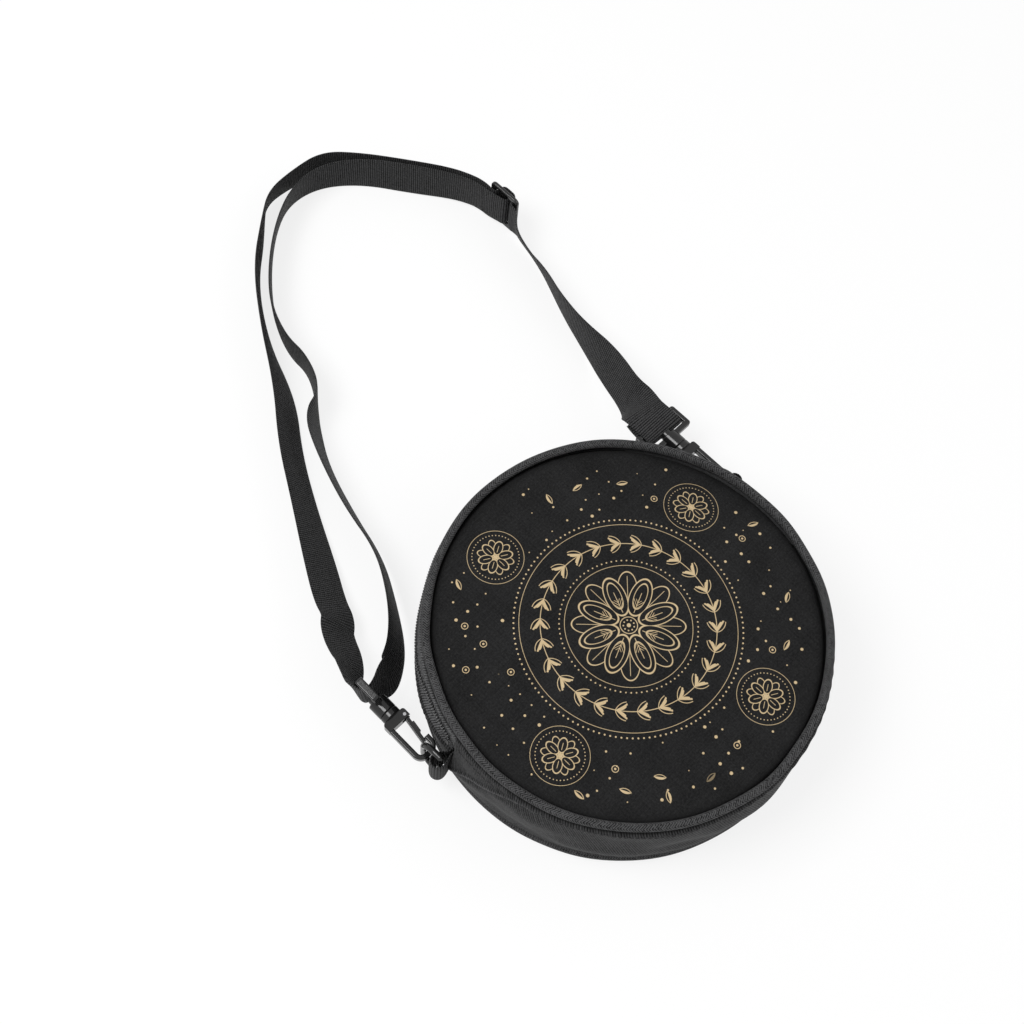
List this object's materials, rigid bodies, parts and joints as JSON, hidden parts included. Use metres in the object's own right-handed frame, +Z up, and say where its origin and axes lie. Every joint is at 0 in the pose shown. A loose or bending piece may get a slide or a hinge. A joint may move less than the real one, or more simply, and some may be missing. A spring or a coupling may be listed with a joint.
{
  "type": "round crossbody bag",
  "caption": "Round zipped crossbody bag with piped edges, tab rings, swivel snap hooks and an adjustable webbing strap; its mouth folds open along the zip.",
  "frame": {"origin": "middle of the back panel's outer face, on which the bag lies", "axes": "+Z up through the front panel, +Y towards the bag's top and the strap, +X to the right seen from the front"},
  "size_m": [0.2949, 0.4788, 0.066],
  "materials": {
    "black_canvas": "matt woven",
    "printed_canvas": "matt printed",
    "foam": "soft sheet",
    "lining": "plain woven",
    "twill_piping": "twill",
    "binding_tape": "grosgrain",
    "zip_tape": "herringbone",
    "zip_coil": "nylon coil",
    "black_metal": "satin black",
    "webbing": "ribbed",
    "black_plastic": "moulded satin",
    "steel_pin": "plain"
  },
  "bodies": {
    "bag": {"back_panel": "black_canvas", "back_foam": "foam", "back_lining": "lining", "back_piping": "twill_piping", "back_binding": "binding_tape", "gusset_lower": "black_canvas", "gusset_upper": "black_canvas", "gusset_lining_lower": "lining", "gusset_lining_upper": "lining", "front_panel_lower": "printed_canvas", "front_foam_lower": "foam", "front_lining_lower": "lining", "front_piping_lower": "twill_piping", "front_binding_lower": "binding_tape", "zip_tape_back": "zip_tape", "zip_coil_back": "zip_coil", "zip_tape_front_ends": "zip_tape", "zip_coil_front_ends": "zip_coil", "zip_end_stops": "black_metal", "tab_left": "webbing", "tab_right": "webbing", "strap_webbing": "webbing"},
    "flap": {"front_panel_flap": "printed_canvas", "front_foam_flap": "foam", "front_lining_flap": "lining", "front_piping_flap": "twill_piping", "front_binding_flap": "binding_tape", "zip_tape_front": "zip_tape", "zip_coil_front": "zip_coil"},
    "slider": {"zip_slider": "black_metal"},
    "pull": {"zip_pull": "black_metal"},
    "ring_left": {"d_ring_left": "black_plastic", "swivel_base_left": "black_plastic"},
    "snap_hook_left": {"hook_left": "black_plastic", "gate_pin_left": "steel_pin"},
    "snap_gate_left": {"gate_left": "black_plastic"},
    "ring_right": {"d_ring_right": "black_plastic", "swivel_base_right": "black_plastic"},
    "snap_hook_right": {"hook_right": "black_plastic", "gate_pin_right": "steel_pin"},
    "snap_gate_right": {"gate_right": "black_plastic"},
    "slide_buckle": {"tri_glide": "black_plastic"}
  },
  "joints": [
    {"name": "mouth_fold", "type": "hinge", "parent": "bag", "child": "flap", "pos_m": [0, 0.044, 0.066], "axis": [1, 0, 0], "range_deg": [0, 60]},
    {"name": "zip_travel", "type": "hinge", "parent": "bag", "child": "slider", "pos_m": [0, 0, 0.049], "axis": [0, 0, 1], "range_deg": [0, 145.9]},
    {"name": "pull_swing", "type": "hinge", "parent": "slider", "child": "pull", "pos_m": [0.10902, 0.03333, 0.049], "axis": [0, 0, 1], "range_deg": [-165, 0]},
    {"name": "ring_swing_left", "type": "hinge", "parent": "bag", "child": "ring_left", "pos_m": [-0.11553, 0.02141, 0.029], "axis": [0, 0, 1], "range_deg": [-6, 35], "deforming": ["strap_webbing"]},
    {"name": "hook_swivel_left", "type": "hinge", "parent": "ring_left", "child": "snap_hook_left", "pos_m": [-0.11553, 0.03341, 0.029], "axis": [0, 1, 0], "range_deg": [-25, 25]},
    {"name": "gate_press_left", "type": "hinge", "parent": "snap_hook_left", "child": "snap_gate_left", "pos_m": [-0.11033, 0.05351, 0.029], "axis": [0, 0, 1], "range_deg": [-15, 0], "stiffness_Nm_per_rad": 0.02},
    {"name": "ring_swing_right", "type": "hinge", "parent": "bag", "child": "ring_right", "pos_m": [0.11553, 0.02141, 0.029], "axis": [0, 0, 1], "range_deg": [-35, 6], "deforming": ["strap_webbing"]},
    {"name": "hook_swivel_right", "type": "hinge", "parent": "ring_right", "child": "snap_hook_right", "pos_m": [0.11553, 0.03341, 0.029], "axis": [0, 1, 0], "range_deg": [-25, 25]},
    {"name": "gate_press_right", "type": "hinge", "parent": "snap_hook_right", "child": "snap_gate_right", "pos_m": [0.11033, 0.05351, 0.029], "axis": [0, 0, 1], "range_deg": [0, 15], "stiffness_Nm_per_rad": 0.02},
    {"name": "glide_slide", "type": "slide", "parent": "bag", "child": "slide_buckle", "axis": [0, 1, 0], "range_m": [-0.015, 0.015], "deforming": ["strap_webbing"]}
  ]
}
